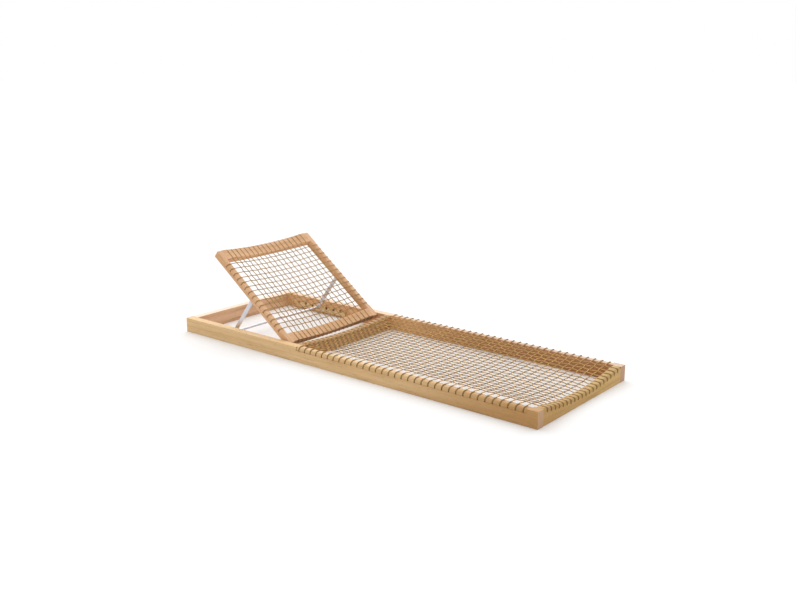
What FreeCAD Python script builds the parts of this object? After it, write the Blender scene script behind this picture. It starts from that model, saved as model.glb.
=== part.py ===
import FreeCAD, Part
import math
import os
from collections import namedtuple
from FreeCAD import Vector

# A low teak sun lounger. Millimetres, origin on the floor under the middle of the frame.
# +X runs from the head end to the foot end, +Y to the left of someone lying on it, +Z up.

# Frame
frame_length = 2000.0
frame_width = 700.0
rail_height = 70.0
rail_thickness = 40.0
rail_edge_radius = 3.0
side_rail_inner_radius = 12.0
end_rail_inner_radius = 10.0
end_rail_outer_radius = 10.0
frame_dowel_radius = 5.0
frame_dowel_length = 40.0
frame_dowel_heights = (18.0, 40.0)

# Backrest
back_length = 595.0
back_side_gap = 4.0
back_head_gap = 31.0
stile_width = 30.0
stile_depth = 32.0
stile_edge_radius = 2.5
stile_inner_radius = 11.0
stile_corner_radius = 6.0
back_top_rail_width = 58.0
back_bottom_rail_width = 50.0
back_rail_belly = 6.0
back_rail_edge_radius = 4.0
back_dowel_radius = 4.0
back_dowel_length = 40.0
back_dowel_edge = 9.0
back_dowel_spacing = 14.0

# Hinge between the frame and the backrest
back_tilt = 37.0
hinge_setback = 64.0
hinge_height = 58.0
hinge_end_distance = 12.0
hinge_pin_radius = 5.0
hinge_pin_in_rail = 24.0
hinge_pin_in_stile = 25.0
hinge_bush_wall = 2.0
hinge_bush_length = 26.0
hinge_washer_radius = 11.0
hinge_washer_gap = 0.4
hinge_washer_bore_gap = 0.3

# Prop that holds the backrest up, and the notched racks it stands in
prop_drop = 16.0
prop_length = 209.0
prop_inset = 18.0
prop_leg_width = 20.0
prop_leg_thickness = 5.0
prop_leg_edge_radius = 0.8
prop_bar_radius = 6.0
prop_bar_end_gap = 1.0
prop_pin_radius = 3.0
prop_pin_head_radius = 5.0
prop_pin_head_height = 1.5
prop_bush_wall = 1.95
bracket_length = 60.0
bracket_width = 16.0
bracket_thickness = 2.5
bracket_lug_radius = 9.0
bracket_side_gap = 0.3
bracket_screw_half_spacing = 22.0
bracket_screw_depth = 13.0
rack_thickness = 12.0
rack_height = 30.0
rack_top_gap = 0.5
rack_bar_depth = 3.85
rack_notches_to_foot = 3
rack_notch_pitch = 50.0
rack_notch_clearance = 0.5
rack_end_margin = 30.0
rack_head_gap = 25.0
rack_screw_depth = 18.0
rack_screw_rise = 9.0
screw_radius = 2.0
screw_head_radius = 4.0
screw_head_height = 2.0

# Cord nets
cord_radius = 2.0
cord_gap = 0.3
cord_sink = 0.7
cord_hole_depth = 14.0
layer_gap = 1.0
groove_half_width = 3.1
seat_head_dish = 13.5
seat_middle_dish = 12.5
seat_foot_dish = 25.5
seat_cross_count = 35
seat_cross_head_margin = 13.0
seat_cross_foot_margin = 25.0
seat_long_count = 20
seat_long_margin = 27.0
seat_side_drop = 15.0
seat_end_drop = 10.0
seat_cord_edge = 8.0
seat_recess_depth = 1.8
seat_recess_edge = 12.0
back_dish = 16.0
back_cross_count = 15
back_cross_margin = 33.5
back_long_count = 18
back_long_margin = 29.5
back_cord_drop = 13.0
back_cord_edge = 4.0
back_recess_depth = 1.0
back_recess_edge = 6.0
cord_bend_reach = 6.0
straight_limit = 0.1
recess_end_margin = 16.0
recess_lip = 0.8

# Fits
running_fit = 0.05
glue_fit = 0.03

# Places that follow from the sizes above
half_length = frame_length / 2
half_width = frame_width / 2
inner_half_width = half_width - rail_thickness
head_rail_face = rail_thickness - half_length
foot_rail_face = half_length - rail_thickness
back_foot_end = head_rail_face + back_head_gap + back_length
hinge = Vector(back_foot_end - hinge_end_distance, 0, hinge_height)
seat_head_face = hinge.x + hinge_setback
seat_head_inner_face = seat_head_face + rail_thickness
seat_length = half_length - seat_head_face
seat_middle = half_length - seat_length / 2
back_middle = back_foot_end - back_length / 2
back_long_reach = back_length / 2 - back_top_rail_width
back_front = hinge.z + stile_depth / 2
back_rear = hinge.z - stile_depth / 2
back_half_width = inner_half_width - back_side_gap
back_inner_half = back_half_width - stile_width
back_foot_edge = back_foot_end - back_bottom_rail_width
back_head_edge = back_foot_end - back_length + back_top_rail_width
rack_top = back_rear - rack_top_gap
rack_bottom = rack_top - rack_height

# The prop's legs stand square to the backrest at its resting angle, with the crossbar in the racks
tilt = math.radians(back_tilt)
bar_height = rack_top - rack_bar_depth
bar_behind_hinge = stile_depth / 2 + prop_drop + prop_length
prop_reach = (bar_height - hinge_height + bar_behind_hinge * math.cos(tilt)) / math.sin(tilt)
prop_plane = back_half_width - prop_inset
prop_pivot = Vector(hinge.x - prop_reach, 0, back_rear - prop_drop)
prop_foot = prop_pivot - Vector(0, 0, prop_length)
cord_offset = cord_radius + cord_gap
cord_room = 2 * (cord_radius + cord_gap)
end_groove_depth = cord_room + cord_sink
cord_hole_radius = cord_radius + cord_gap
along_y = Vector(0, 1, 0)

# Each net runs level over its side pieces, bends down over its outermost long cords and hangs between them
Net = namedtuple("Net", "top bend_place dish")
back_net = Net(back_front, back_inner_half - back_long_margin, back_dish)
cord_bend = cord_radius + cord_offset


def seat_net(x):
    """The seat's net at a place along it: deepest at the foot rail, shallowest before the middle."""
    share = (x - seat_middle) / (foot_rail_face - seat_middle)
    tilt_part = (seat_foot_dish - seat_head_dish) / 2
    bend_part = (seat_foot_dish + seat_head_dish) / 2 - seat_middle_dish
    dish = seat_middle_dish + tilt_part * share + bend_part * share ** 2
    return Net(rail_height, inner_half_width - seat_long_margin, dish)


def box(low, high):
    """A block between two corners."""
    size = Vector(*high) - Vector(*low)
    return Part.makeBox(size.x, size.y, size.z, Vector(*low))


def rod(radius, start, end):
    """A round bar from one point to another."""
    run = end - start
    return Part.makeCylinder(radius, run.Length, start, run)


def ring(outer, inner, start, end):
    """A round sleeve from one point to another."""
    return rod(outer, start, end).cut(rod(inner, start, end))


def mirrored(shape):
    """The same piece on the other side of the lounger."""
    return shape.mirror(Vector(0, 0, 0), along_y)


def tilted(shape):
    """A backrest piece, drawn lying flat, turned up to its resting angle."""
    turned = shape.copy()
    turned.rotate(hinge, along_y, back_tilt)
    return turned


def at(shape, x, y, z):
    """A copy of a shape moved by an offset."""
    moved = shape.copy()
    moved.translate(Vector(x, y, z))
    return moved


def spread(count, first, last):
    """Evenly spaced places between two ends."""
    return [first + (last - first) * index / (count - 1) for index in range(count)]


def screw(head, tip_direction, length, extra=0.0):
    """A countersunk screw with its head's top at a point."""
    shank = Part.makeCylinder(screw_radius + extra, length, head, tip_direction)
    wide = screw_head_radius + extra
    cone = Part.makeCone(wide, screw_radius + extra, screw_head_height, head, tip_direction)
    return shank.fuse(cone).removeSplitter()


def save(name, shape):
    """Write one node, as one solid or as a group of separate solids."""
    solids = shape.Solids
    volume = sum(solid.Volume for solid in solids)
    if not shape.isValid():
        raise ValueError(name + " is not a valid shape")
    shape.exportStep("parts/" + name + ".step")
    print(name, len(solids), "solids,", round(volume / 1000.0, 2), "cm3")


# Cord routes, drawn in a plane whose first axis points out over the rail

def net_level(y, net):
    """Height of a cross cord's middle at a distance from the lounger's centre line."""
    start, height, slope = net_start(net)
    radius = start / math.sin(slope)
    return height + radius * math.cos(slope) - math.sqrt(radius ** 2 - y ** 2)


def net_start(net):
    """Where a cross cord leaves the outermost long cord: place, height and slope."""
    slope = 2 * math.atan(net.dish / net.bend_place)
    start = net.bend_place - cord_bend * math.sin(slope)
    height = net.top - cord_radius + cord_bend * math.cos(slope)
    return start, height, slope


def line(place, a, b):
    return Part.makeLine(place(*a), place(*b))


def arc(place, centre, radius, first, last):
    """An arc between two angles in degrees, counted from the outward axis towards up."""
    points = []
    for angle in (first, (first + last) / 2, last):
        turn = math.radians(angle)
        across = centre[0] + radius * math.cos(turn)
        up = centre[1] + radius * math.sin(turn)
        points.append(place(across, up))
    return Part.Arc(*points).toShape()


def wrap_edges(place, face, top, edge, drop):
    """From the end of the blind hole, out of the face, up it and over its rounded edge."""
    hole = top - drop
    rise = cord_offset
    return [
        line(place, (face - cord_hole_depth, hole), (face, hole)),
        arc(place, (face, hole + rise), rise, -90, 0),
        line(place, (face + rise, hole + rise), (face + rise, top - edge)),
        arc(place, (face - edge, top - edge), edge + rise, 0, 90),
    ]


def cord(edges):
    """A round cord along a route of straight runs and arcs."""
    route = Part.Wire(Part.__sortEdges__(edges))
    first = route.OrderedEdges[0]
    start = first.valueAt(first.FirstParameter)
    direction = first.tangentAt(first.FirstParameter)
    section = Part.Wire([Part.makeCircle(cord_radius, start, direction)])
    tube = route.makePipeShell([section], True, False)
    expected = math.pi * cord_radius ** 2 * route.Length
    if abs(tube.Volume - expected) > 0.01 * expected:
        raise ValueError("a cord's volume does not match its length")
    return tube


def cross_cord(face, edge, drop, net):
    """A cord across the net, over both side pieces, hanging in a shallow dish."""
    start, height, slope = net_start(net)
    bend_centre = (net.bend_place, net.top - cord_radius)
    level = net.top + cord_offset
    edges = []
    for side in (1, -1):
        def place(across, up, side=side):
            return Vector(0, side * across, up)
        edges += wrap_edges(place, face, net.top, edge, drop)
        edges.append(line(place, (face - edge, level), (net.bend_place, level)))
        edges.append(arc(place, bend_centre, cord_bend, 90, 90 + math.degrees(slope)))
    lowest = Vector(0, 0, net_level(0, net))
    edges.append(Part.Arc(Vector(0, start, height), lowest, Vector(0, -start, height)).toShape())
    return cord(edges)


def arched_run(inner, head, middle, foot):
    """A cord's run between two end rails: level at both, with short bends into one long arc."""
    ends = (Vector(inner, 0, foot), Vector(-inner, 0, head))
    crown = Vector(0, 0, middle)
    whole = Part.Arc(ends[0], crown, ends[1]).toShape()
    leaving = whole.tangentAt(whole.FirstParameter)
    chord = ends[1] - ends[0]
    side = chord.Length / (2 * math.cos(leaving.getAngle(chord)))
    corner = ends[0] + leaving * side
    share = 1 - cord_bend_reach / side
    start, top, finish = (corner + (point - corner) * share for point in (ends[0], crown, ends[1]))
    edges = [Part.Arc(start, top, finish).toShape()]
    for rail_end, run_end, outward in ((ends[0], start, 1), (ends[1], finish, -1)):
        level_end = rail_end + Vector(outward * cord_bend_reach, 0, 0)
        to_run = (run_end - rail_end).normalize()
        to_level = (level_end - rail_end).normalize()
        turn = math.pi - to_run.getAngle(to_level)
        halfway = (to_run + to_level).normalize()
        bend_middle = rail_end + halfway * (cord_bend_reach * math.tan(turn / 4))
        edges.append(Part.Arc(level_end, bend_middle, run_end).toShape())
    return edges


def long_cord(face, edge, drop, inner, head, middle, foot):
    """A cord along the net and over both end rails, from its heights at the head, middle and foot."""
    bend = inner + cord_bend_reach
    if max(head, middle, foot) - min(head, middle, foot) < straight_limit:
        head = foot
        edges = [Part.makeLine(Vector(bend, 0, foot), Vector(-bend, 0, foot))]
    else:
        edges = arched_run(inner, head, middle, foot)
    for side, level in ((1, foot), (-1, head)):
        def place(across, up, side=side):
            return Vector(side * across, 0, up)
        edges += wrap_edges(place, face, level - cord_offset, edge, drop)
        edges.append(line(place, (face - edge, level), (bend, level)))
    return cord(edges)


def long_level(y, net):
    """Height of a long cord's middle, under the cross cords."""
    return net_level(y, net) - 2 * cord_radius - layer_gap


def recess(face, outer, top, edge, drop, start, end):
    """What is cut from a side piece's outer face, down to where the cords go in, between two x places."""
    low = top - drop - cord_hole_radius - recess_lip
    beyond = outer + edge

    def place(across, up):
        return Vector(start, across, up)
    edges = [
        line(place, (face, low), (face, top - edge)),
        arc(place, (face - edge, top - edge), edge, 0, 90),
        line(place, (face - edge, top), (face - edge, top + edge)),
        line(place, (face - edge, top + edge), (beyond, top + edge)),
        line(place, (beyond, top + edge), (beyond, low)),
        line(place, (beyond, low), (face, low)),
    ]
    return Part.Face(Part.Wire(edges)).extrude(Vector(end - start, 0, 0))


def cord_grooves(places, face, outer, top, edge, drop):
    """The grooves and blind holes of the cross cords in a side piece's outer face."""
    cuts = []
    for x in places:
        cuts.append(recess(face, outer, top, edge, drop, x - groove_half_width, x + groove_half_width))
        mouth = Vector(x, face, top - drop)
        cuts.append(rod(cord_hole_radius, mouth - along_y * cord_hole_depth, mouth + along_y))
    return cuts


def eased(start, end, inner, top, radius):
    """What is cut from a rail to round its inner top edge between two x places."""
    def place(across, up):
        return Vector(start, across, up)
    edges = [
        arc(place, (inner + radius, top - radius), radius, 180, 90),
        line(place, (inner + radius, top), (inner + radius, top + radius)),
        line(place, (inner + radius, top + radius), (inner - radius, top + radius)),
        line(place, (inner - radius, top + radius), (inner - radius, top - radius)),
        line(place, (inner - radius, top - radius), (inner, top - radius)),
    ]
    return Part.Face(Part.Wire(edges)).extrude(Vector(end - start, 0, 0))


def groove(face, beyond, edge, inner, drop):
    """A routed groove over one end rail's edge, with its cord's run at height zero."""
    floor = -cord_offset
    low = floor - drop - groove_half_width
    above = floor + 2 * end_groove_depth
    half = groove_half_width

    def place(across, up):
        return Vector(across, -half, up)
    edges = [
        line(place, (face, low), (face, floor - edge)),
        arc(place, (face - edge, floor - edge), edge, 0, 90),
        line(place, (face - edge, floor), (inner, floor)),
        line(place, (inner, floor), (inner, above)),
        line(place, (inner, above), (beyond, above)),
        line(place, (beyond, above), (beyond, low)),
        line(place, (beyond, low), (face, low)),
    ]
    slot = Part.Face(Part.Wire(edges)).extrude(Vector(0, 2 * half, 0))
    hole_height = floor - drop
    hole = rod(cord_hole_radius, Vector(face - cord_hole_depth, 0, hole_height),
               Vector(face, 0, hole_height))
    return slot.fuse(hole)


def dished_rail(start, end, half, bottom, belly, net):
    """A cross rail whose top is hollowed and whose underside may bulge, between two x places."""
    def place(y, z):
        return Vector(start, y, z)
    side_top = end_top(half, net)
    edges = [
        line(place, (half, bottom), (half, side_top)),
        Part.Arc(place(half, side_top), place(0, end_top(0, net)), place(-half, side_top)).toShape(),
        line(place, (-half, side_top), (-half, bottom)),
    ]
    if belly:
        under = Part.Arc(place(-half, bottom), place(0, bottom - belly), place(half, bottom))
        edges.append(under.toShape())
    else:
        edges.append(line(place, (-half, bottom), (half, bottom)))
    return Part.Face(Part.Wire(edges)).extrude(Vector(end - start, 0, 0))


def levelled(rail, half, top):
    """A cross rail cut off level with the side pieces where its hollow rises above them."""
    bounds = rail.BoundBox
    return rail.cut(box((bounds.XMin, -half, top), (bounds.XMax, half, bounds.ZMax + top)))


def rounded(shape, radius, wanted):
    """Fillet the edges whose middle point passes a test."""
    chosen = []
    for edge in shape.Edges:
        middle = edge.valueAt(edge.getParameterByLength(edge.Length / 2))
        if wanted(middle):
            chosen.append(edge)
    return shape.makeFillet(radius, chosen)


def near(a, b):
    return abs(a - b) < 0.01


# Frame

seat_recess_face = half_width - seat_recess_depth
seat_cord_face = seat_recess_face - cord_room
seat_cross_places = spread(seat_cross_count, seat_head_inner_face + seat_cross_head_margin,
                           foot_rail_face - seat_cross_foot_margin)
seat_long_places = spread(seat_long_count, seat_long_margin - inner_half_width,
                          inner_half_width - seat_long_margin)
seat_recess_start = seat_cross_places[0] - recess_end_margin
seat_recess_end = seat_cross_places[-1] + recess_end_margin
head_rail_middle = rail_thickness / 2 - half_length
foot_rail_middle = half_length - rail_thickness / 2
seat_head_rail_middle = seat_head_face + rail_thickness / 2

# Racks: notches as far to the head as the room there allows, with screws between notches
rest_foot = tilted(Part.Vertex(prop_foot)).Point
rack_face = inner_half_width - rack_thickness
rack_room = rest_foot.x - head_rail_face - rack_head_gap - rack_end_margin
rack_notches_to_head = int(rack_room // rack_notch_pitch)
rack_notches = [rest_foot.x + step * rack_notch_pitch
                for step in range(-rack_notches_to_head, rack_notches_to_foot + 1)]
rack_screw_steps = {-rack_notches_to_head + 0.5, -0.5, 0.5, rack_notches_to_foot - 0.5}
rack_screw_places = [
    Vector(rest_foot.x + step * rack_notch_pitch, rack_face, rack_bottom + rack_screw_rise)
    for step in sorted(rack_screw_steps)
]


def frame_dowel_lines():
    """Start and end of each dowel between the left side rail and the cross rails."""
    reach = frame_dowel_length / 2
    lines = []
    for x in (head_rail_middle, seat_head_rail_middle, foot_rail_middle):
        for z in frame_dowel_heights:
            start = Vector(x, inner_half_width - reach, z)
            lines.append((start, start + along_y * frame_dowel_length))
    return lines


def frame_dowel_holes():
    return [rod(frame_dowel_radius + glue_fit, start, end) for start, end in frame_dowel_lines()]


def side_rail():
    """The left side rail, with its cord recess and the holes for cords, dowels, screws and hinge."""
    rail = box((-half_length, inner_half_width, 0), (half_length, half_width, rail_height))
    corners = ((half_width, 0), (half_width, rail_height), (inner_half_width, 0))

    def rounded_long(point):
        return near(point.x, 0) and any(near(point.y, y) and near(point.z, z) for y, z in corners)
    rail = rounded(rail, rail_edge_radius, rounded_long)
    cuts = [
        recess(seat_recess_face, half_width, rail_height, seat_recess_edge, seat_side_drop,
               seat_recess_start, seat_recess_end),
        eased(seat_head_inner_face, foot_rail_face, inner_half_width, rail_height,
              side_rail_inner_radius),
        eased(head_rail_face, seat_head_face, inner_half_width, rail_height, rail_edge_radius),
    ]
    cuts += cord_grooves(seat_cross_places, seat_cord_face, half_width, rail_height, seat_cord_edge,
                         seat_side_drop)
    cuts += frame_dowel_holes()
    for place in rack_screw_places:
        cuts.append(screw(place, along_y, rack_thickness + rack_screw_depth, glue_fit))
    pin_mouth = Vector(hinge.x, inner_half_width, hinge.z)
    cuts.append(rod(hinge_pin_radius + glue_fit, pin_mouth, pin_mouth + along_y * hinge_pin_in_rail))
    return rail.cut(cuts)


def end_top(y, net):
    """Height of an end rail's hollowed top, just above the cords in its grooves."""
    return long_level(y, net) - cord_offset + end_groove_depth


def seat_end_rail(net):
    """A rail at the foot end, hollowed along its top to suit a net and grooved for the long cords."""
    rail = dished_rail(foot_rail_face, half_length, inner_half_width, 0, 0, net)
    lowest = end_top(0, net)
    rail = rounded(rail, end_rail_outer_radius, lambda p: near(p.x, half_length) and near(p.z, lowest))
    rail = rounded(rail, end_rail_inner_radius,
                   lambda p: near(p.x, foot_rail_face) and near(p.z, lowest))
    rail = rounded(rail, rail_edge_radius, lambda p: near(p.z, 0) and near(p.y, 0))
    rail = levelled(rail, inner_half_width, rail_height)
    cuts = frame_dowel_holes()
    cuts += [mirrored(hole) for hole in cuts]
    cutter = groove(half_length - end_groove_depth, half_length + end_groove_depth,
                    end_rail_outer_radius - end_groove_depth, foot_rail_face - end_groove_depth,
                    seat_end_drop)
    for y in seat_long_places:
        cuts.append(at(cutter, 0, y, long_level(y, net)))
    return rail.cut(Part.makeCompound(cuts))


def head_rail():
    """The plain rail at the head end."""
    rail = box((-half_length, -inner_half_width, 0), (head_rail_face, inner_half_width, rail_height))
    rail = rounded(rail, rail_edge_radius, lambda p: near(p.y, 0))
    holes = frame_dowel_holes()
    holes += [mirrored(hole) for hole in holes]
    return rail.cut(Part.makeCompound(holes))


def rack():
    """The left notched batten, screwed to the inside of the side rail."""
    batten = box((rack_notches[0] - rack_end_margin, rack_face, rack_bottom),
                 (rack_notches[-1] + rack_end_margin, inner_half_width, rack_top))
    radius = prop_bar_radius + rack_notch_clearance
    cuts = []
    for x in rack_notches:
        seat = Vector(x, rack_face, rest_foot.z)
        cuts.append(rod(radius, seat, seat + along_y * rack_thickness))
        cuts.append(box((x - radius, rack_face, rest_foot.z),
                        (x + radius, inner_half_width, rack_top + radius)))
    for place in rack_screw_places:
        cuts.append(screw(place, along_y, rack_thickness + rack_screw_depth, glue_fit))
    return batten.cut(Part.makeCompound(cuts))


# Backrest, drawn lying flat

back_recess_face = back_half_width - back_recess_depth
back_cord_face = back_recess_face - cord_room
back_cross_places = spread(back_cross_count, back_head_edge + back_cross_margin,
                           back_foot_edge - back_cross_margin)
back_long_places = spread(back_long_count, back_long_margin - back_inner_half,
                          back_inner_half - back_long_margin)
bracket_top = back_rear
bracket_bottom = bracket_top - bracket_thickness
lug_inner = prop_leg_thickness / 2 + bracket_side_gap
lug_outer = lug_inner + bracket_thickness


def back_dowel_lines():
    """Start and end of each dowel between the left stile and the backrest's two rails."""
    reach = back_dowel_length / 2
    lines = []
    for inner, outward in ((back_foot_edge, 1), (back_head_edge, -1)):
        for step in (back_dowel_edge, back_dowel_edge + back_dowel_spacing):
            start = Vector(inner + outward * step, back_inner_half - reach, hinge.z)
            lines.append((start, start + along_y * back_dowel_length))
    return lines


def back_dowel_holes():
    return [rod(back_dowel_radius + glue_fit, start, end) for start, end in back_dowel_lines()]


def bracket_screw_places():
    places = []
    for step in (-bracket_screw_half_spacing, bracket_screw_half_spacing):
        places.append(Vector(prop_pivot.x + step, prop_plane, bracket_bottom))
    return places


def stile():
    """The backrest's left upright."""
    head_end = back_foot_end - back_length
    post = box((head_end, back_inner_half, back_rear), (back_foot_end, back_half_width, back_front))
    post = rounded(post, stile_corner_radius,
                   lambda p: near(p.x, head_end) and near(p.y, back_half_width) and near(p.z, hinge.z))
    long_edges = [edge for edge in post.Edges if edge.Length > back_length / 2
                  and edge.CenterOfMass.y > back_half_width - stile_corner_radius / 2]
    post = post.makeFillet(stile_edge_radius, long_edges)
    cuts = [
        recess(back_recess_face, back_half_width, back_front, back_recess_edge, back_cord_drop,
               back_cross_places[0] - recess_end_margin, back_cross_places[-1] + recess_end_margin),
        eased(back_head_edge, back_foot_edge, back_inner_half, back_front, stile_inner_radius),
    ]
    cuts += cord_grooves(back_cross_places, back_cord_face, back_half_width, back_front, back_cord_edge,
                         back_cord_drop)
    cuts += back_dowel_holes()
    for place in bracket_screw_places():
        cuts.append(screw(place, Vector(0, 0, 1), bracket_thickness + bracket_screw_depth, glue_fit))
    mouth = Vector(hinge.x, back_half_width, hinge.z)
    bush_radius = hinge_pin_radius + running_fit + hinge_bush_wall + glue_fit
    cuts.append(rod(bush_radius, mouth - along_y * hinge_bush_length, mouth + along_y))
    return post.cut(cuts)


def back_rail(width, side):
    """One of the backrest's cross rails, hollowed in front and grooved for the long cords."""
    face = back_middle + side * back_length / 2
    inner = face - side * width
    start, end = min(face, inner), max(face, inner)
    rail = dished_rail(start, end, back_inner_half, back_rear, back_rail_belly, back_net)
    rail = rounded(rail, back_rail_edge_radius, lambda p: near(p.y, 0))
    rail = levelled(rail, back_inner_half, back_front)
    cuts = back_dowel_holes()
    cuts += [mirrored(hole) for hole in cuts]
    cutter = groove(back_length / 2, back_length / 2 + end_groove_depth, back_cord_edge,
                    back_length / 2 - width - end_groove_depth, back_cord_drop)
    if side < 0:
        cutter = cutter.mirror(Vector(0, 0, 0), Vector(1, 0, 0))
    for y in back_long_places:
        cuts.append(at(cutter, back_middle, y, long_level(y, back_net)))
    return rail.cut(Part.makeCompound(cuts))


# Prop and its brackets, drawn with the backrest lying flat and the legs square to it

def prop_leg():
    """The left leg of the prop, a flat bar with an eye for its bush and a hole for the crossbar."""
    half = prop_leg_width / 2

    def place(across, up):
        return Vector(prop_pivot.x + across, prop_plane - prop_leg_thickness / 2, up)
    edges = [
        line(place, (half, prop_foot.z), (half, prop_pivot.z)),
        arc(place, (0, prop_pivot.z), half, 0, 180),
        line(place, (-half, prop_pivot.z), (-half, prop_foot.z)),
        arc(place, (0, prop_foot.z), half, 180, 360),
    ]
    leg = Part.Face(Part.Wire(edges)).extrude(along_y * prop_leg_thickness)
    leg = leg.makeFillet(prop_leg_edge_radius, [
        edge for edge in leg.Edges if not near(edge.CenterOfMass.y, prop_plane)])
    bush_radius = prop_pin_radius + running_fit + prop_bush_wall + glue_fit
    cuts = [through(bush_radius, prop_pivot), through(prop_bar_radius + glue_fit, prop_foot)]
    return leg.cut(Part.makeCompound(cuts))


def through(radius, place):
    """A hole's cutter, along Y through the left leg and its bracket."""
    middle = Vector(place.x, prop_plane, place.z)
    reach = along_y * (lug_outer + prop_pin_head_height)
    return rod(radius, middle - reach, middle + reach)


def bracket():
    """The left steel bracket under the stile, with two lugs beside the leg."""
    plate = box((prop_pivot.x - bracket_length / 2, prop_plane - bracket_width / 2, bracket_bottom),
                (prop_pivot.x + bracket_length / 2, prop_plane + bracket_width / 2, bracket_top))
    for y in (prop_plane - lug_outer, prop_plane + lug_inner):
        low = Vector(prop_pivot.x, 0, prop_pivot.z)
        lug = rod(bracket_lug_radius, low + along_y * y, low + along_y * (y + bracket_thickness))
        web = box((prop_pivot.x - bracket_lug_radius, y, prop_pivot.z),
                  (prop_pivot.x + bracket_lug_radius, y + bracket_thickness, bracket_bottom))
        plate = plate.fuse(lug).fuse(web)
    plate = plate.removeSplitter()
    cuts = [through(prop_pin_radius + glue_fit, prop_pivot)]
    for place in bracket_screw_places():
        cuts.append(screw(place, Vector(0, 0, 1), bracket_thickness + bracket_screw_depth, glue_fit))
    return plate.cut(Part.makeCompound(cuts))


def pivot_pin():
    """The left pivot pin, headed over outside both lugs."""
    middle = Vector(prop_pivot.x, prop_plane, prop_pivot.z)
    pin = rod(prop_pin_radius, middle - along_y * lug_outer, middle + along_y * lug_outer)
    for side in (1, -1):
        seat = middle + along_y * (side * lug_outer)
        pin = pin.fuse(rod(prop_pin_head_radius, seat, seat + along_y * (side * prop_pin_head_height)))
    return pin.removeSplitter()


def prop_bush():
    """The left leg's bush, which turns on the pivot pin."""
    inner = prop_pin_radius + running_fit
    start = Vector(prop_pivot.x, prop_plane - prop_leg_thickness / 2, prop_pivot.z)
    return ring(inner + prop_bush_wall, inner, start, start + along_y * prop_leg_thickness)


def hinge_pin():
    """The left hinge pin, fixed in the side rail."""
    root = Vector(hinge.x, inner_half_width + hinge_pin_in_rail, hinge.z)
    return rod(hinge_pin_radius, root, Vector(hinge.x, back_half_width - hinge_pin_in_stile, hinge.z))


def hinge_bush():
    """The left stile's bush, which turns on the hinge pin."""
    inner = hinge_pin_radius + running_fit
    start = Vector(hinge.x, back_half_width - hinge_bush_length, hinge.z)
    return ring(inner + hinge_bush_wall, inner, start, start + along_y * hinge_bush_length)


def hinge_washer():
    """The left washer, against the side rail beside the stile."""
    start = Vector(hinge.x, back_half_width + hinge_washer_gap, hinge.z)
    end = Vector(hinge.x, inner_half_width, hinge.z)
    return ring(hinge_washer_radius, hinge_pin_radius + hinge_washer_bore_gap, start, end)


def pair(shape):
    """A piece and its mirror image as one group."""
    return Part.makeCompound([shape, mirrored(shape)])


def both_sides(shapes):
    return Part.makeCompound(shapes + [mirrored(shape) for shape in shapes])


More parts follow.
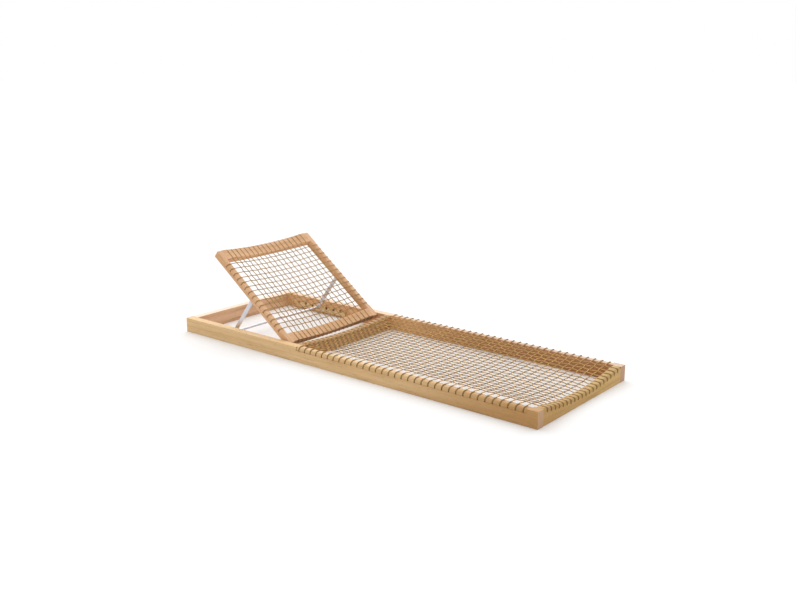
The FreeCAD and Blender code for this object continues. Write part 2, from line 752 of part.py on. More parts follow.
def main():
    os.makedirs("parts", exist_ok=True)

    left_rail = side_rail()
    save("side_rail_left", left_rail)
    save("side_rail_right", mirrored(left_rail))
    foot_net = seat_net(foot_rail_face)
    head_net = seat_net(seat_head_inner_face)
    save("foot_rail", seat_end_rail(foot_net))
    seat_head = seat_end_rail(head_net)
    save("seat_head_rail", seat_head.mirror(Vector(seat_middle, 0, 0), Vector(1, 0, 0)))
    save("head_rail", head_rail())
    save("frame_dowels", both_sides([rod(frame_dowel_radius, a, b) for a, b in frame_dowel_lines()]))

    left_rack = rack()
    save("rack_left", left_rack)
    save("rack_right", mirrored(left_rack))
    length = rack_thickness + rack_screw_depth
    save("rack_screws", both_sides([screw(place, along_y, length) for place in rack_screw_places]))
    save("hinge_pins", pair(hinge_pin()))
    save("hinge_washers", pair(hinge_washer()))

    strands = []
    for x in seat_cross_places:
        strand = cross_cord(seat_cord_face, seat_cord_edge, seat_side_drop, seat_net(x))
        strands.append(at(strand, x, 0, 0))
    save("seat_cross_cords", Part.makeCompound(strands))
    strands = []
    for y in seat_long_places:
        levels = [long_level(y, net) for net in (head_net, seat_net(seat_middle), foot_net)]
        strand = long_cord(seat_length / 2 - end_groove_depth, end_rail_outer_radius - end_groove_depth,
                           seat_end_drop, foot_rail_face - seat_middle, *levels)
        strands.append(at(strand, seat_middle, y, 0))
    save("seat_long_cords", Part.makeCompound(strands))

    left_stile = tilted(stile())
    save("back_stile_left", left_stile)
    save("back_stile_right", mirrored(left_stile))
    save("back_top_rail", tilted(back_rail(back_top_rail_width, -1)))
    save("back_bottom_rail", tilted(back_rail(back_bottom_rail_width, 1)))
    dowels = [rod(back_dowel_radius, a, b) for a, b in back_dowel_lines()]
    save("back_dowels", tilted(both_sides(dowels)))
    save("hinge_bushes", tilted(pair(hinge_bush())))
    strand = cross_cord(back_cord_face, back_cord_edge, back_cord_drop, back_net)
    save("back_cross_cords", tilted(Part.makeCompound([at(strand, x, 0, 0) for x in back_cross_places])))
    strand = long_cord(back_length / 2, back_cord_edge, back_cord_drop, back_long_reach, 0, 0, 0)
    strands = [at(strand, back_middle, y, long_level(y, back_net)) for y in back_long_places]
    save("back_long_cords", tilted(Part.makeCompound(strands)))

    left_bracket = tilted(bracket())
    save("prop_bracket_left", left_bracket)
    save("prop_bracket_right", mirrored(left_bracket))
    length = bracket_thickness + bracket_screw_depth
    screws = [screw(place, Vector(0, 0, 1), length) for place in bracket_screw_places()]
    save("prop_bracket_screws", tilted(both_sides(screws)))
    save("prop_pivot_pins", tilted(pair(pivot_pin())))

    left_leg = tilted(prop_leg())
    save("prop_leg_left", left_leg)
    save("prop_leg_right", mirrored(left_leg))
    save("prop_bushes", tilted(pair(prop_bush())))
    bar_end = Vector(prop_foot.x, rack_face - prop_bar_end_gap, prop_foot.z)
    bar_start = Vector(bar_end.x, -bar_end.y, bar_end.z)
    save("prop_crossbar", tilted(rod(prop_bar_radius, bar_start, bar_end)))

    print("hinge axis at", round(hinge.x, 3), round(hinge.z, 3))
    pivot = tilted(Part.Vertex(prop_pivot)).Point
    print("prop pivot at rest at", round(pivot.x, 3), round(pivot.z, 3))
    print("crossbar at rest at", round(rest_foot.x, 3), round(rest_foot.z, 3))


main()
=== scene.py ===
import math
import random

import bpy
from mathutils import Matrix, Vector


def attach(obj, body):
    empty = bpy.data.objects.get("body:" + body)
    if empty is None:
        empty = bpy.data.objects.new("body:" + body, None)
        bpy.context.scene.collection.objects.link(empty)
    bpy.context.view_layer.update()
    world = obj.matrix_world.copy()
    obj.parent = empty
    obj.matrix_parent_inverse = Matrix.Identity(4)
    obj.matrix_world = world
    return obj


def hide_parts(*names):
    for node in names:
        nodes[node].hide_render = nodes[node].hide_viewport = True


# A low teak sun lounger with woven cord nets. Metres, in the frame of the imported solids.

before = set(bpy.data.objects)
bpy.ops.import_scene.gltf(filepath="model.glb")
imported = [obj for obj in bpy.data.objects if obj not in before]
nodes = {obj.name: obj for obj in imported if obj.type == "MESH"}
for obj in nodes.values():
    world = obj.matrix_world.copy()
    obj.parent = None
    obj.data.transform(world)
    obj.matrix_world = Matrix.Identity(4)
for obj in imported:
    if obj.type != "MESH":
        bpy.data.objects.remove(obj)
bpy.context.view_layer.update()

# Sizes shared with the solids
cord_radius = 0.002
cord_gap = 0.0003
cord_offset = cord_radius + cord_gap
cord_bend = cord_radius + cord_offset
layer_gap = 0.001
hole_depth = 0.014
half_length = 1.0
seat_head_face = -0.282
end_rail_half = 0.310
end_rail_edge = 0.010
end_rail_bottom_edge = 0.003
end_groove_depth = 0.0053
groove_half_width = 0.0031
seat_outer_cord = 0.283
back_outer_cord = 0.2465
back_tilt = math.radians(37.0)
hinge = Vector((-0.346, 0.0, 0.058))
first_notch = -0.71945
notch_pitch = 0.050
notch_height = 0.03765

# How the seat's end rails are carved, with the ends of the grooves measured down from a groove's floor
groove_wall = 0.0001
groove_full_until = 0.0122
groove_gone_at = 0.0162
groove_end_steps = 6
shoulder_width = 0.0065
shoulder_drop = 0.0025
shoulder_steps = (0.0, 0.06, 0.15, 0.3, 0.5, 0.75, 1.0)
sharp_angle = math.radians(50.0)

# How the cords are drawn and woven
cord_sides = 10
steps_between_crossings = 6
degrees_per_step = 15.0
squash = 0.3
spread_out = 0.18
weave = cord_radius * (1 - squash) + cord_gap / 2
middle_drop = cord_radius + layer_gap / 2
sway_limit = 0.0007
sway_source = random.Random(7)


def spread(count, first, last):
    """Evenly spaced places between two ends."""
    return [first + (last - first) * index / (count - 1) for index in range(count)]


# The two nets, with the backrest lying flat. Side sizes are for the rails along a net and end sizes for
# those across it. Ends are given foot first and dishes head first. Shades are painted shade on the cords,
# from 0, plain, to 1, deep. Between the first two places of the fade, towards the left, the crossings'
# painted shade fades to the share that comes third.
seat = {
    "top": 0.070, "level_from": 0.322, "outer_cord": seat_outer_cord, "dishes": (0.0135, 0.0125, 0.0255),
    "side_face": 0.3436, "side_edge": 0.008, "side_drop": 0.015,
    "end_faces": (half_length - end_groove_depth, seat_head_face + end_groove_depth),
    "end_edge": end_rail_edge - end_groove_depth, "end_drop": 0.010, "end_inner": (0.960, -0.242),
    "wrap_shade": 0.55, "rail_shade": 0.35, "run_shade": 0.0, "crossing_shade": 0.7,
    "shade_fade": (0.13, 0.19, 0.3),
    "cross": spread(35, -0.229, 0.935), "long": spread(20, -seat_outer_cord, seat_outer_cord),
}
back = {
    "top": 0.074, "level_from": 0.287, "outer_cord": back_outer_cord, "dishes": (0.016, 0.016, 0.016),
    "side_face": 0.3004, "side_edge": 0.004, "side_drop": 0.013,
    "end_faces": (-0.334, -0.929),
    "end_edge": 0.004, "end_drop": 0.013, "end_inner": (-0.384, -0.871),
    "wrap_shade": 0.35, "rail_shade": 0.1, "run_shade": 0.28, "crossing_shade": 0.15,
    "shade_fade": (0.25, 0.30, 1.0),
    "cross": spread(15, -0.8375, -0.4175), "long": spread(18, -back_outer_cord, back_outer_cord),
}


# Cord routes

def dish_at(net, x):
    """How far the net hangs at a place along it, from its dishes at the head, the middle and the foot."""
    foot_inner, head_inner = net["end_inner"]
    middle = (foot_inner + head_inner) / 2
    share = (x - middle) / (foot_inner - middle)
    at_head, at_middle, at_foot = net["dishes"]
    tilt_part = (at_foot - at_head) / 2
    bend_part = (at_foot + at_head) / 2 - at_middle
    return at_middle + tilt_part * share + bend_part * share ** 2


def net_start(net, x):
    """Where the net leaves its outermost long cords, at a place along it: place, height and slope."""
    slope = 2 * math.atan(dish_at(net, x) / net["outer_cord"])
    start = net["outer_cord"] - cord_bend * math.sin(slope)
    height = net["top"] - cord_radius + cord_bend * math.cos(slope)
    return start, height, slope


def hung_level(net, x, y):
    """Height of the arc in which the net hangs, which goes on past the outermost long cords."""
    start, height, slope = net_start(net, x)
    radius = start / math.sin(slope)
    return height + radius * math.cos(slope) - math.sqrt(radius ** 2 - y ** 2)


def net_level(net, x, y):
    """Height of the net's upper cords at a place along it and a distance from the centre line."""
    start = net_start(net, x)[0]
    return net["top"] + cord_offset if abs(y) > start else hung_level(net, x, y)


def arc_points(centre, radius, first, last):
    """Points on an arc between two angles in degrees, counted from outwards towards up."""
    count = max(2, math.ceil(abs(last - first) / degrees_per_step))
    points = []
    for index in range(count + 1):
        turn = math.radians(first + (last - first) * index / count)
        points.append((centre[0] + radius * math.cos(turn), centre[1] + radius * math.sin(turn)))
    return points


def wrap_points(face, top, edge, drop):
    """From the end of the blind hole, out of the face, up it and over its rounded edge."""
    hole = top - drop
    points = [(face - hole_depth, hole)]
    points += arc_points((face, hole + cord_offset), cord_offset, -90, 0)
    points += arc_points((face - edge, top - edge), edge + cord_offset, 0, 90)
    return points


def woven_run(stops, sides):
    """Places along a cord, its height, which is 1 over a crossing and -1 under it, and how squashed it is."""
    run = []
    for index in range(len(stops) - 1):
        for step in range(1, steps_between_crossings + 1):
            share = step / steps_between_crossings
            eased = (1 - math.cos(math.pi * share)) / 2
            place = stops[index] + (stops[index + 1] - stops[index]) * share
            pressed = math.cos(math.pi * share) ** 4
            run.append((place, sides[index] + (sides[index + 1] - sides[index]) * eased, pressed))
    return run[:-1]


def over(row, column):
    """1 where the cross cord of a row passes over the long cord of a column, otherwise -1."""
    return 1 if (row + column) % 2 == 0 else -1


def painted_cord_shade(net, y, pressed):
    """How much painted shade a cord has: a base share, more where it is pressed at a crossing, and less at
    crossings towards the left rail.
    """
    start, end, least = net["shade_fade"]
    shade_left = min(1.0, max(least, (end - y) / (end - start)))
    return net["run_shade"] + net["crossing_shade"] * math.sqrt(pressed) * shade_left


def cross_route(net, row):
    """A cord from side rail to side rail, over and under the long cords: points, squash and shade."""
    x = net["cross"][row]
    level_from = net["level_from"]
    wrap = wrap_points(net["side_face"], net["top"], net["side_edge"], net["side_drop"])
    wrap = [(across, up, 0.0, net["wrap_shade"]) for across, up in wrap]
    wrap.append((level_from, net["top"] + cord_offset, 0.0, net["rail_shade"]))
    at_rail = middle_drop / weave
    stops = [-level_from] + net["long"] + [level_from]
    sides = [at_rail] + [over(row, column) for column in range(len(net["long"]))] + [at_rail]
    points = [(-across, up, pressed, shade) for across, up, pressed, shade in wrap]
    for y, side, pressed in woven_run(stops, sides):
        pressed = pressed if abs(y) < net["outer_cord"] + cord_radius else 0.0
        level = net_level(net, x, y) - middle_drop + weave * side
        points.append((y, level, pressed, painted_cord_shade(net, y, pressed)))
    points += reversed(wrap)
    sway = sway_source.uniform(-sway_limit, sway_limit)
    return [(Vector((x + sway * max(0.0, 1 - (y / level_from) ** 2), y, z)), pressed, shade)
            for y, z, pressed, shade in points]


def long_route(net, column):
    """A cord from end rail to end rail, under and over the cross cords: points, squash and shade."""
    y = net["long"][column]
    foot_inner, head_inner = net["end_inner"]
    ends = []
    for face, inner, outward in zip(net["end_faces"], net["end_inner"], (1, -1)):
        level = net_level(net, inner, y) - 2 * middle_drop
        wrap = wrap_points(0.0, level - cord_offset, net["end_edge"], net["end_drop"])
        wrapped = [(face + outward * across, up, 0.0, net["wrap_shade"]) for across, up in wrap]
        ends.append(wrapped + [(inner, level, 0.0, 0.0)])
    at_rail = -middle_drop / weave
    stops = [head_inner] + net["cross"] + [foot_inner]
    sides = [at_rail] + [-over(row, column) for row in range(len(net["cross"]))] + [at_rail]
    points = ends[1]
    for x, side, pressed in woven_run(stops, sides):
        level = net_level(net, x, y) - middle_drop + weave * side
        points.append((x, level, pressed, painted_cord_shade(net, y, pressed)))
    points += reversed(ends[0])
    sway = sway_source.uniform(-sway_limit, sway_limit)
    middle = (foot_inner + head_inner) / 2
    half = (foot_inner - head_inner) / 2
    return [(Vector((x, y + sway * max(0.0, 1 - ((x - middle) / half) ** 2), z)), pressed, shade)
            for x, z, pressed, shade in points]


# Cord meshes

def linked(name, data):
    """A new object in the scene, made from a mesh, a lamp or a camera."""
    made = bpy.data.objects.new(name, data)
    bpy.context.scene.collection.objects.link(made)
    return made


def add_tube(mesh_parts, points, across):
    """Adds a closed round tube, flatter where it is squashed, along points square to the across direction."""
    vertices, faces, corners, shades = mesh_parts
    first = len(vertices)
    travelled = 0.0
    lengths = []
    for index, (point, pressed, shade) in enumerate(points):
        before = points[max(index - 1, 0)][0]
        after = points[min(index + 1, len(points) - 1)][0]
        travelled += (point - before).length
        lengths.append(travelled)
        up = across.cross((after - before).normalized()) * cord_radius * (1 - squash * pressed)
        aside = across * cord_radius * (1 + spread_out * pressed)
        for side in range(cord_sides):
            turn = 2 * math.pi * side / cord_sides
            vertices.append(point + up * math.cos(turn) + aside * math.sin(turn))
            shades.append(shade)
    for index in range(len(points) - 1):
        low = first + index * cord_sides
        for side in range(cord_sides):
            following = (side + 1) % cord_sides
            faces.append((low + side, low + following, low + cord_sides + following,
                          low + cord_sides + side))
            near_edge = side / cord_sides
            far_edge = (side + 1) / cord_sides
            corners += [(lengths[index], near_edge), (lengths[index], far_edge),
                        (lengths[index + 1], far_edge), (lengths[index + 1], near_edge)]
    last = first + (len(points) - 1) * cord_sides
    for cap, length in ((range(first + cord_sides - 1, first - 1, -1), 0.0),
                        (range(last, last + cord_sides), travelled)):
        faces.append(tuple(cap))
        corners += [(length, 0.0)] * cord_sides


def cord_object(name, routes, across, place, material):
    """One object that holds all the cords of one direction in one net."""
    mesh_parts = ([], [], [], [])
    for points in routes:
        add_tube(mesh_parts, points, across)
    vertices, faces, corners, shades = mesh_parts
    mesh = bpy.data.meshes.new(name)
    mesh.from_pydata([place @ vertex for vertex in vertices], [], faces)
    layer = mesh.uv_layers.new(name="along_cord")
    layer.data.foreach_set("uv", [value for corner in corners for value in corner])
    mesh.attributes.new("shade", "FLOAT", "POINT").data.foreach_set("value", shades)
    mesh.shade_smooth()
    mesh.materials.append(material)
    return linked(name, mesh)


# End rails, with the wood softly rounded between the cords' grooves

def groove_floor(net, inner, y):
    """Height that a long cord rests on over an end rail."""
    return net_level(net, inner, y) - 2 * middle_drop - cord_offset


def end_rail_top(net, inner, y):
    """Height of an end rail's hollowed top, just above the cords in its grooves and level at its ends."""
    above_floor = end_groove_depth - cord_offset - 2 * middle_drop
    return min(net["top"], hung_level(net, inner, y) + above_floor)


def carved(net, inner, y):
    """Height of the top and depth of the outer face where grooves with rounded shoulders are cut."""
    top = end_rail_top(net, inner, y)
    cord = min(net["long"], key=lambda place: abs(y - place))
    floor = min(top, groove_floor(net, inner, cord))
    distance = abs(y - cord)
    if distance < groove_half_width:
        return floor, end_groove_depth
    share = min(1.0, (distance - groove_half_width) / shoulder_width)
    drop = shoulder_drop * (1 - math.sqrt(1 - (1 - share) ** 2))
    return top - drop * (top - floor) / end_groove_depth, drop


def end_rail_section(net, inner, y, thickness):
    """The rail's outline at one place, as distances from its inner face and heights, from the bottom up."""
    top, depth = carved(net, inner, y)
    low = end_rail_bottom_edge
    edge = end_rail_edge
    bend = edge - depth
    floor = groove_floor(net, inner, y)
    full = floor - groove_full_until
    gone = floor - groove_gone_at
    points = arc_points((thickness - low, low), low, -90, 0)
    for step in range(groove_end_steps + 1):
        share = step / groove_end_steps
        eased = share * share * (3 - 2 * share)
        points.append((thickness - depth * eased, gone + (full - gone) * share))
    points += arc_points((thickness - edge, top - bend), bend, 0, 90)
    uncut_top = end_rail_top(net, inner, y)
    points += [(out, min(up, top)) for out, up in arc_points((edge, uncut_top - edge), edge, 90, 180)]
    return points + arc_points((low, low), low, 180, 270)


def end_rail_object(name, net, end, material):
    """One of the seat's end rails: 0 is the foot's, 1 the head's."""
    outward = 1 if end == 0 else -1
    inner = net["end_inner"][end]
    thickness = abs(net["end_faces"][end] - inner) + end_groove_depth
    places = [-end_rail_half, end_rail_half]
    for cord in net["long"]:
        for side in (-1, 1):
            places.append(cord + side * (groove_half_width - groove_wall))
            places += [cord + side * (groove_half_width + shoulder_width * share) for share in shoulder_steps]
    vertices = []
    for y in sorted(places):
        section = end_rail_section(net, inner, y, thickness)
        vertices += [(inner + outward * out, y, up) for out, up in section]
    count = len(section)
    faces = [tuple(range(count)), tuple(range(len(vertices) - 1, len(vertices) - 1 - count, -1))]
    for column in range(len(places) - 1):
        low = column * count
        for index in range(count):
            following = (index + 1) % count
            faces.append((low + index, low + count + index, low + count + following, low + following))
    if outward < 0:
        faces = [face[::-1] for face in faces]
    mesh = bpy.data.meshes.new(name)
    mesh.from_pydata(vertices, [], faces)
    mesh.shade_smooth()
    mesh.set_sharp_from_angle(angle=sharp_angle)
    mesh.materials.append(material)
    return linked(name, mesh)


# Colours

def linear(red, green, blue):
    """A colour given as it looks on a screen, 0 to 255, in the linear values that shaders take."""
    values = []
    for level in (red, green, blue):
        share = level / 255
        values.append(share / 12.92 if share <= 0.04045 else ((share + 0.055) / 1.055) ** 2.4)
    return (*values, 1.0)


# Tones of wood, each light and then dark
honey = (linear(240, 205, 154), linear(224, 184, 130))
ochre = (linear(228, 194, 128), linear(208, 170, 104))
rose = (linear(236, 190, 146), linear(214, 164, 116))
tawny = (linear(242, 194, 146), linear(222, 170, 122))
russet = (linear(206, 158, 108), linear(182, 134, 86))
caramel = (linear(230, 182, 134), linear(208, 158, 110))
blush = (linear(240, 200, 164), linear(220, 176, 136))
pale_honey = (honey[0], ochre[0])

# What changes the wood's colour: its own streaks, pores and end grain, a darker upper band, and painted shade
# and painted light
# Painted shade that deepens a rail's tone towards one end, where less light reaches it
end_shade_amber = linear(172, 120, 54)
end_shade_umber = linear(152, 96, 52)
streak_brown = linear(168, 118, 66)
pore_brown = linear(120, 78, 40)
# Painted light that pales the surfaces facing up
top_light_white = linear(255, 238, 220)
upper_brown = linear(164, 124, 58)
# Painted shade in grooves, on groove walls, in notches and at the backrest's foot
groove_shade_brown = linear(112, 76, 34)
groove_wall_shade_brown = linear(96, 64, 30)
notch_shade_brown = linear(74, 44, 22)
foot_shade_brown = linear(84, 50, 26)
end_grain_rose = linear(202, 166, 136)

# The other materials
cord_light = linear(240, 197, 126)
cord_dark = linear(182, 137, 76)
# Painted shade on the cords, in grooves, at crossings and over the backrest's net
cord_shade_brown = linear(88, 66, 40)
steel_bright = linear(216, 213, 218)
steel_grey = linear(200, 198, 204)
nylon_light = linear(226, 222, 212)
nylon_dark = linear(208, 203, 192)


# Materials

# Turns that bring the grain or the brushing along X
along_length = (0.0, 0.0, 0.0)
across_width = (0.0, 0.0, math.radians(90.0))
along_backrest = (0.0, -back_tilt, 0.0)
along_legs = (0.0, math.radians(90.0) - back_tilt, 0.0)

# Textures that are stretched along the grain or the brushing, and how far they move on from board to board
bands_texture = {"stretch": (1.2, 26.0, 26.0), "detail": 3.0, "roughness": 0.55, "distortion": 0.6}
figure_texture = {"stretch": (2.2, 70.0, 70.0), "detail": 4.0, "roughness": 0.6, "distortion": 1.2}
fibre_texture = {"stretch": (22.0, 900.0, 900.0), "detail": 3.0, "roughness": 0.6}
pores_texture = {"stretch": (45.0, 1500.0, 1500.0), "detail": 1.0}
brush_texture = {"stretch": (18.0, 1400.0, 1400.0), "detail": 4.0, "roughness": 0.65}
board_shift = (1.37, 0.613, 0.291)

# Which part of each texture's range counts, and the share, factor or roughness that it gives
noise_range = (0.3, 0.7)
bands_range = (0.32, 0.68)
streak_range = (0.52, 0.72)
streak_share = 0.45
fibre_tone = (0.93, 1.06)
pore_range = (0.62, 0.74)
pore_share = 0.5
pore_depth = 0.8
teak_fibre_range = (0.25, 0.75)
teak_roughness = (0.46, 0.62)
strand_range = (-0.9, 0.9)
fading_tone = (0.9, 1.08)
fuzz_tone = (0.92, 1.06)
fuzz_height = 0.3
brush_tone = (0.94, 1.04)
steel_roughness = (0.3, 0.44)
nylon_range = (0.35, 0.65)
nylon_roughness = (0.4, 0.52)

# A darker upper band, and painted shade beside grooves, around notches and at the backrest's foot: where each
# is strongest, where it ends, and its share of the colour
upper_band = (0.013, 0.017, 0.35)
groove_shade_band = (0.0034, 0.0062, 0.75)
notch_shade_ring = (0.007, 0.0105, 0.85)
foot_shade_band = (0.001, 0.004, 0.6)

# How squarely a surface faces up or along the grain before it counts, and how far out grooves go
facing_up_range = (0.85, 0.98)
end_grain_range = (0.75, 0.98)
end_grain_share = 0.6
groove_walls_until = (0.98, 0.99)

# The cord's braid
strand_turns = 4.0
lay_length = 0.011


class Finish:
    """The nodes of a material or world, added by short calls."""

    def __init__(self, owner):
        self.owner = owner
        owner.use_nodes = True
        self.tree = owner.node_tree
        self.tree.nodes.clear()

    def add(self, kind, inputs, **settings):
        """A node, with inputs that are values or the outputs of other nodes."""
        made = self.tree.nodes.new(kind)
        for key, value in settings.items():
            setattr(made, key, value)
        for key, value in inputs.items():
            if isinstance(value, bpy.types.NodeSocket):
                self.tree.links.new(value, made.inputs[key])
            else:
                made.inputs[key].default_value = value
        return made

    def math(self, operation, *values):
        """The result of a sum or the like."""
        return self.add("ShaderNodeMath", dict(enumerate(values)), operation=operation).outputs[0]

    def parts(self, vector):
        """The X, Y and Z of a vector."""
        return self.add("ShaderNodeSeparateXYZ", {"Vector": vector}).outputs

    def turned(self, vector, rotation):
        """A vector turned by three angles."""
        node = self.add("ShaderNodeVectorRotate", {"Vector": vector, "Rotation": rotation},
                        rotation_type="EULER_XYZ")
        return node.outputs[0]

    def noise(self, vector, scale, detail, roughness=0.5, distortion=0.0):
        """Cloudy values around a half."""
        node = self.add("ShaderNodeTexNoise", {
            "Vector": vector, "Scale": scale, "Detail": detail,
            "Roughness": roughness, "Distortion": distortion})
        return node.outputs["Fac"]

    def ranged(self, value, low, high, to_low, to_high):
        """A value that goes smoothly from one level to another while its source goes from low to high."""
        node = self.add("ShaderNodeMapRange", {
            "Value": value, "From Min": low, "From Max": high, "To Min": to_low, "To Max": to_high},
            interpolation_type="SMOOTHSTEP")
        return node.outputs["Result"]

    def mix(self, share, first, second, blend="MIX"):
        """A mix of two colours."""
        node = self.add("ShaderNodeMix", {0: share, 6: first, 7: second}, data_type="RGBA", blend_type=blend)
        return node.outputs[2]

    def bump(self, height, distance, strength):
        """The surface's direction, made uneven by a height."""
        node = self.add("ShaderNodeBump", {"Height": height, "Distance": distance, "Strength": strength})
        return node.outputs["Normal"]

    def shader(self, **inputs):
        """The surface itself, with inputs named as on the shader, underscores for spaces."""
        named = {key.replace("_", " "): value for key, value in inputs.items()}
        surface = self.add("ShaderNodeBsdfPrincipled", named)
        self.add("ShaderNodeOutputMaterial", {"Surface": surface.outputs[0]})
        return self.owner


def object_place(finish, rotation=along_length, shift=(0.0, 0.0, 0.0), stretch=(1.0, 1.0, 1.0)):
    """Coordinates that stay on the piece: turned, then moved, then stretched."""
    source = finish.add("ShaderNodeTexCoord", {}).outputs["Object"]
    turned = finish.turned(source, rotation)
    moved = finish.add("ShaderNodeVectorMath", {0: turned, 1: shift}, operation="ADD")
    stretched = finish.add("ShaderNodeVectorMath", {0: moved.outputs[0], 1: stretch}, operation="MULTIPLY")
    return stretched.outputs[0]


def grain_noise(finish, rotation, shift, stretch, **settings):
    """Noise that is stretched along the grain or the brushing."""
    return finish.noise(object_place(finish, rotation, shift, stretch), scale=1.0, **settings)


def toned(finish, colour, noise, tone):
    """The colour, times a factor that goes from one level to another with a noise."""
    return finish.mix(1.0, colour, finish.ranged(noise, *noise_range, *tone), "MULTIPLY")


def painted_top_light(finish, colour, normal, share):
    """The colour, paler where the surface faces up: painted light on the tops."""
    facing_up = finish.parts(normal)["Z"]
    return finish.mix(finish.ranged(facing_up, *facing_up_range, 0.0, share), colour, top_light_white)


def darkened_hollow(finish, colour, place, hollow):
    """The colour, darker on the upper part of a rail with a hollow top, and darkest with painted shade beside
    its grooves.
    """
    along = place["X"]
    outermost = seat["outer_cord"]
    pitch = seat["long"][1] - seat["long"][0]
    nearest = finish.math("PINGPONG", finish.math("ADD", along, outermost), pitch / 2)
    rise = finish.math("POWER", finish.math("DIVIDE", along, outermost), 2.0)
    top = finish.math("MULTIPLY_ADD", rise, hollow, seat["top"] - hollow)
    below = finish.math("SUBTRACT", top, place["Z"])
    strongest, end, share = upper_band
    upper = finish.ranged(below, strongest, end, 1.0, 0.0)
    colour = finish.mix(finish.math("MULTIPLY", upper, share), colour, upper_brown)
    strongest, end, share = groove_shade_band
    beside = finish.ranged(nearest, strongest, end, share, 0.0)
    return finish.mix(finish.math("MULTIPLY", beside, upper), colour, groove_shade_brown)


def shaded_foot(finish, colour):
    """The colour, darker with painted shade on the face at the backrest's foot, found with the backrest
    turned flat.
    """
    down = finish.parts(object_place(finish, along_backrest))["X"]
    foot = back["end_faces"][0] + (Matrix.Rotation(-back_tilt, 4, "Y") @ hinge - hinge).x
    strongest, end, share = foot_shade_band
    return finish.mix(finish.ranged(down, foot - end, foot - strongest, 0.0, share), colour, foot_shade_brown)


def shaded_notches(finish, colour, place):
    """The colour, darker with painted shade in and around the notches."""
    nearest = finish.math("PINGPONG", finish.math("SUBTRACT", place["X"], first_notch), notch_pitch / 2)
    above = finish.math("SUBTRACT", place["Z"], notch_height)
    squares = finish.math("ADD", finish.math("POWER", nearest, 2.0), finish.math("POWER", above, 2.0))
    strongest, end, share = notch_shade_ring
    stain = finish.ranged(finish.math("SQRT", squares), strongest, end, share, 0.0)
    return finish.mix(stain, colour, notch_shade_brown)


def with_end_grain(finish, colour, place, along_grain, grooved):
    """The colour, rosy where the surface faces along the grain, but dark with painted shade on the walls of
    grooves.
    """
    share = finish.ranged(finish.math("ABSOLUTE", along_grain), *end_grain_range, 0.0, end_grain_share)
    end_colour = end_grain_rose
    if grooved:
        at_end = finish.ranged(finish.math("ABSOLUTE", place["X"]), *groove_walls_until, 0.0, 1.0)
        end_colour = finish.mix(at_end, groove_wall_shade_brown, end_grain_rose)
    return finish.mix(share, colour, end_colour)


def teak(name, rotation, seed, tones, shaded_end=None, top_light_share=0.0, grooved=False, notched=False,
         hollow=None, dark_foot=False):
    """Oiled teak whose grain runs along X once turned by the rotation.

    The shaded end gives where painted shade starts to deepen the tone along the grain, where it is deepest,
    its share and its colour. A hollow is how far the rail's top dips between the seat's outermost long cords."""
    finish = Finish(bpy.data.materials.new(name))
    place = finish.parts(object_place(finish, rotation))
    normal = finish.add("ShaderNodeTexCoord", {}).outputs["Normal"]
    shift = [seed * step for step in board_shift]
    bands = grain_noise(finish, rotation, shift, **bands_texture)
    figure = grain_noise(finish, rotation, shift, **figure_texture)
    fibre = grain_noise(finish, rotation, shift, **fibre_texture)
    pores = grain_noise(finish, rotation, shift, **pores_texture)

    colour = finish.mix(finish.ranged(bands, *bands_range, 0.0, 1.0), *tones)
    colour = finish.mix(finish.ranged(figure, *streak_range, 0.0, streak_share), colour, streak_brown)
    # Painted shade, deepening the tone towards one end of the board
    if shaded_end:
        start, end, share, end_shade_colour = shaded_end
        colour = finish.mix(finish.ranged(place["X"], start, end, 0.0, share), colour, end_shade_colour)
    # Painted light on the surfaces that face up
    if top_light_share:
        colour = painted_top_light(finish, colour, normal, top_light_share)
    # A darker upper band, with painted shade beside the grooves
    if hollow:
        colour = darkened_hollow(finish, colour, place, hollow)
    # Painted shade on the backrest's lower face
    if dark_foot:
        colour = shaded_foot(finish, colour)
    # Painted shade in and around the notches
    if notched:
        colour = shaded_notches(finish, colour, place)
    colour = toned(finish, colour, fibre, fibre_tone)
    pits = finish.ranged(pores, *pore_range, 0.0, pore_share)
    colour = finish.mix(pits, colour, pore_brown)
    along_grain = finish.parts(finish.turned(normal, rotation))["X"]
    colour = with_end_grain(finish, colour, place, along_grain, grooved)

    relief = finish.math("MULTIPLY_ADD", pits, -pore_depth, fibre)
    rough = finish.ranged(fibre, *teak_fibre_range, *teak_roughness)
    return finish.shader(Base_Color=colour, Roughness=rough, Specular_IOR_Level=0.32,
                         Normal=finish.bump(relief, distance=0.0003, strength=0.35))


